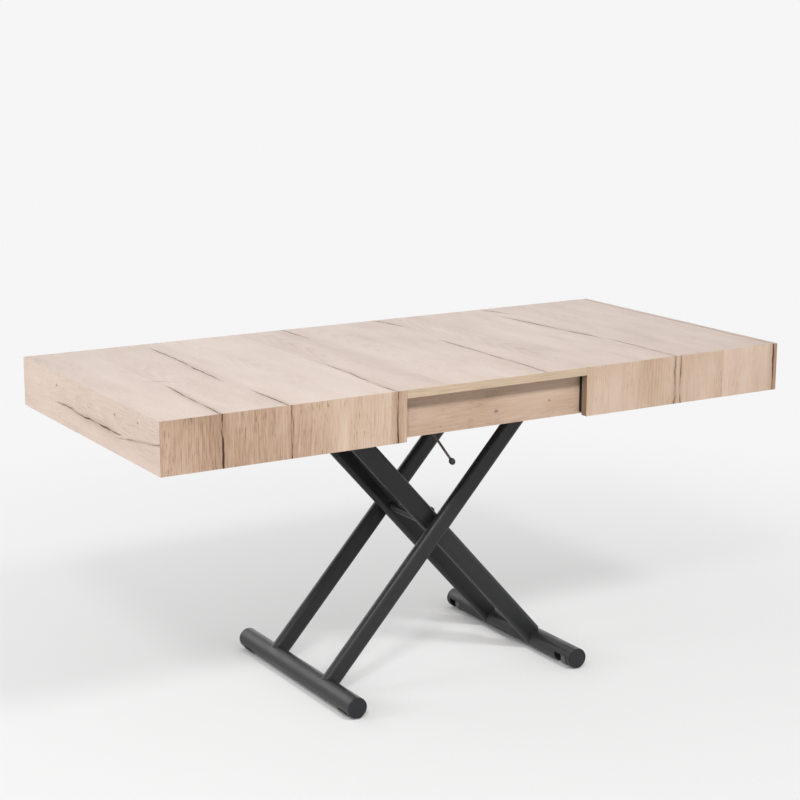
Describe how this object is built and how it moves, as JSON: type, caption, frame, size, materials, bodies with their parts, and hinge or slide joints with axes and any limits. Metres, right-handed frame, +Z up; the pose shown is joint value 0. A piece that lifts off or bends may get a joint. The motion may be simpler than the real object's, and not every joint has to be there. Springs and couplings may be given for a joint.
{
  "type": "convertible coffee dining table",
  "caption": "Lift-top extending table with oak-look sliding top halves and loose centre leaf on a black scissor frame, for use at coffee or dining height.",
  "frame": {"origin": "on the floor under the middle of the open table", "axes": "+X along the table towards the wheeled foot, +Y to the back, +Z up; raised, open and with the leaf in place"},
  "size_m": [1.6, 0.75, 0.76],
  "materials": {
    "oak_decor": "matte light oak decor",
    "plain_wood": "plain",
    "felt": "felt",
    "black_paint": "satin anthracite powder coat",
    "zinc_steel": "zinc plated",
    "black_plastic": "matte moulded",
    "dark_rubber": "matte",
    "grey_rubber": "matte"
  },
  "bodies": {
    "top_frame": {"front_inner_apron": "oak_decor", "back_inner_apron": "oak_decor", "left_end_plate": "black_paint", "right_end_plate": "black_paint", "front_roller_rail": "zinc_steel", "back_roller_rail": "zinc_steel", "front_guide_channel": "zinc_steel", "back_guide_channel": "zinc_steel", "left_cross_tube": "black_paint", "right_cross_tube": "black_paint", "leaf_pads": "felt", "hinge_blocks": "zinc_steel", "hinge_axle": "zinc_steel", "lever_bracket": "black_paint", "lever_pin": "zinc_steel"},
    "left_shell": {"left_top_board": "oak_decor", "left_front_apron": "oak_decor", "left_back_apron": "oak_decor", "left_end_apron": "oak_decor", "left_front_runner": "zinc_steel", "left_back_runner": "zinc_steel", "left_corner_angles": "zinc_steel"},
    "right_shell": {"right_top_board": "oak_decor", "right_front_apron": "oak_decor", "right_back_apron": "oak_decor", "right_end_apron": "oak_decor", "right_front_runner": "zinc_steel", "right_back_runner": "zinc_steel", "right_corner_angles": "zinc_steel"},
    "leaf": {"extension_leaf": "oak_decor", "leaf_battens": "plain_wood"},
    "inner_legs": {"front_inner_leg": "black_paint", "back_inner_leg": "black_paint", "right_foot_bar": "black_paint", "right_bar_front_plug": "black_plastic", "right_bar_back_plug": "black_plastic", "wheel_axles": "zinc_steel", "leg_brace_plate": "black_paint", "spring_anchor_pin": "zinc_steel", "hinge_bushes": "black_plastic", "centre_bushes": "black_plastic", "centre_washers": "black_plastic"},
    "outer_legs": {"front_outer_leg": "black_paint", "back_outer_leg": "black_paint", "left_foot_bar": "black_paint", "left_bar_front_plug": "black_plastic", "left_bar_back_plug": "black_plastic", "foot_pads": "dark_rubber", "roller_axle": "zinc_steel", "centre_axle": "black_paint", "spring_crank": "black_paint"},
    "roller_front": {"front_roller": "black_plastic"},
    "roller_back": {"back_roller": "black_plastic"},
    "wheel_front": {"front_wheel": "grey_rubber"},
    "wheel_back": {"back_wheel": "grey_rubber"},
    "lever": {"lever_rod": "zinc_steel", "lever_knob": "black_plastic"},
    "gas_barrel": {"spring_barrel": "black_paint"},
    "gas_rod": {"spring_rod": "zinc_steel"}
  },
  "joints": [
    {"name": "lift", "type": "hinge", "parent": "top_frame", "child": "inner_legs", "pos_m": [-0.2945, 0, 0.697], "axis": [0, -1, 0], "range_deg": [0, 21.5]},
    {"name": "scissor", "type": "hinge", "parent": "inner_legs", "child": "outer_legs", "pos_m": [0.008, 0, 0.3615], "axis": [0, -1, 0], "range_deg": [-43, 0]},
    {"name": "left_slide", "type": "slide", "parent": "top_frame", "child": "left_shell", "axis": [-1, 0, 0], "range_m": [0, 0.04]},
    {"name": "right_slide", "type": "slide", "parent": "top_frame", "child": "right_shell", "axis": [1, 0, 0], "range_m": [0, 0.04]},
    {"name": "leaf_lift_out", "type": "slide", "parent": "top_frame", "child": "leaf", "axis": [0, 0, 1], "range_m": [0, 0.2]},
    {"name": "roller_front_spin", "type": "hinge", "parent": "outer_legs", "child": "roller_front", "pos_m": [0.3105, -0.1465, 0.697], "axis": [0, 1, 0], "continuous": true},
    {"name": "roller_back_spin", "type": "hinge", "parent": "outer_legs", "child": "roller_back", "pos_m": [0.3105, 0.1465, 0.697], "axis": [0, 1, 0], "continuous": true},
    {"name": "wheel_front_spin", "type": "hinge", "parent": "inner_legs", "child": "wheel_front", "pos_m": [0.3105, -0.2305, 0.017], "axis": [0, 1, 0], "continuous": true},
    {"name": "wheel_back_spin", "type": "hinge", "parent": "inner_legs", "child": "wheel_back", "pos_m": [0.3105, 0.2305, 0.017], "axis": [0, 1, 0], "continuous": true},
    {"name": "lever_pull", "type": "hinge", "parent": "top_frame", "child": "lever", "pos_m": [-0.096, -0.19, 0.665], "axis": [-1, 0, 0], "range_deg": [0, 12], "stiffness_Nm_per_rad": 0.6},
    {"name": "spring_barrel_pivot", "type": "hinge", "parent": "inner_legs", "child": "gas_barrel", "pos_m": [0.23375, -0.06, 0.11859], "axis": [0, -1, 0], "range_deg": [-0.24682, 0]},
    {"name": "spring_rod_pivot", "type": "hinge", "parent": "outer_legs", "child": "gas_rod", "pos_m": [0.01918, -0.06, 0.38498], "axis": [0, -1, 0], "range_deg": [0, 42.75]}
  ],
  "couplings": [
    {"joint": "scissor", "follows": "lift", "ratio": -2},
    {"joint": "spring_barrel_pivot", "follows": "lift", "ratio": -0.01148},
    {"joint": "spring_rod_pivot", "follows": "lift", "ratio": 1.9885}
  ]
}
